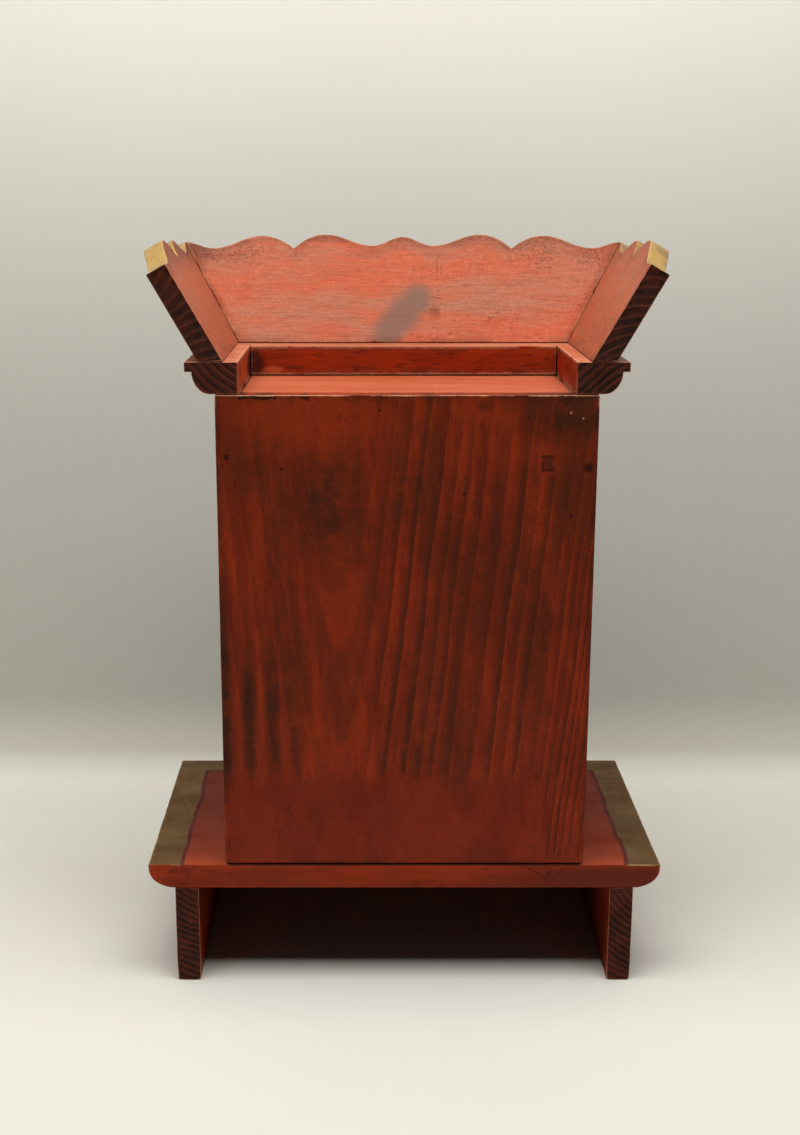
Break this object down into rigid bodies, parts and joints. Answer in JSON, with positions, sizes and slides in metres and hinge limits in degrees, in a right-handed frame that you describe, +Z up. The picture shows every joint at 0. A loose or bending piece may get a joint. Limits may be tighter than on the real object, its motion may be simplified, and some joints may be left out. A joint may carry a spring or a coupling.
{
  "type": "household altar cabinet",
  "caption": "Upright plank-built altar cabinet with an open cusped front, a moulded cornice and outward-leaning lobed crown boards, standing on a low moulded base.",
  "frame": {"origin": "on the floor under the middle of the base board, which is the bottom centre of the bounding box", "axes": "+Z up, -Y out of the open front, +X to the right for someone facing the open front"},
  "size_m": [0.4, 0.226, 0.5755],
  "materials": {
    "sooty_red_paint": "thin orange-red paint over vertical grain, darkened by soot and handling",
    "red_paint": "deep red paint, satin, worn at the arrises; dark bare end grain at the back",
    "faded_red_paint": "faded salmon-red paint, matt and dusty, with dull gilding on the crest",
    "bronze_paint": "worn bronze-gold margin round a red-brown field"
  },
  "bodies": {
    "root": {"base_board": "bronze_paint", "base_side_left": "red_paint", "base_side_right": "red_paint", "base_apron": "red_paint", "back_panel": "sooty_red_paint", "side_panel_left": "red_paint", "side_panel_right": "red_paint", "top_board": "faded_red_paint", "front_stile_left": "red_paint", "front_stile_right": "red_paint", "front_lintel": "red_paint", "front_sill": "red_paint", "cornice_left": "red_paint", "cornice_right": "red_paint", "cornice_front": "red_paint", "crown_left": "faded_red_paint", "crown_right": "faded_red_paint", "crown_front": "faded_red_paint"}
  },
  "joints": []
}
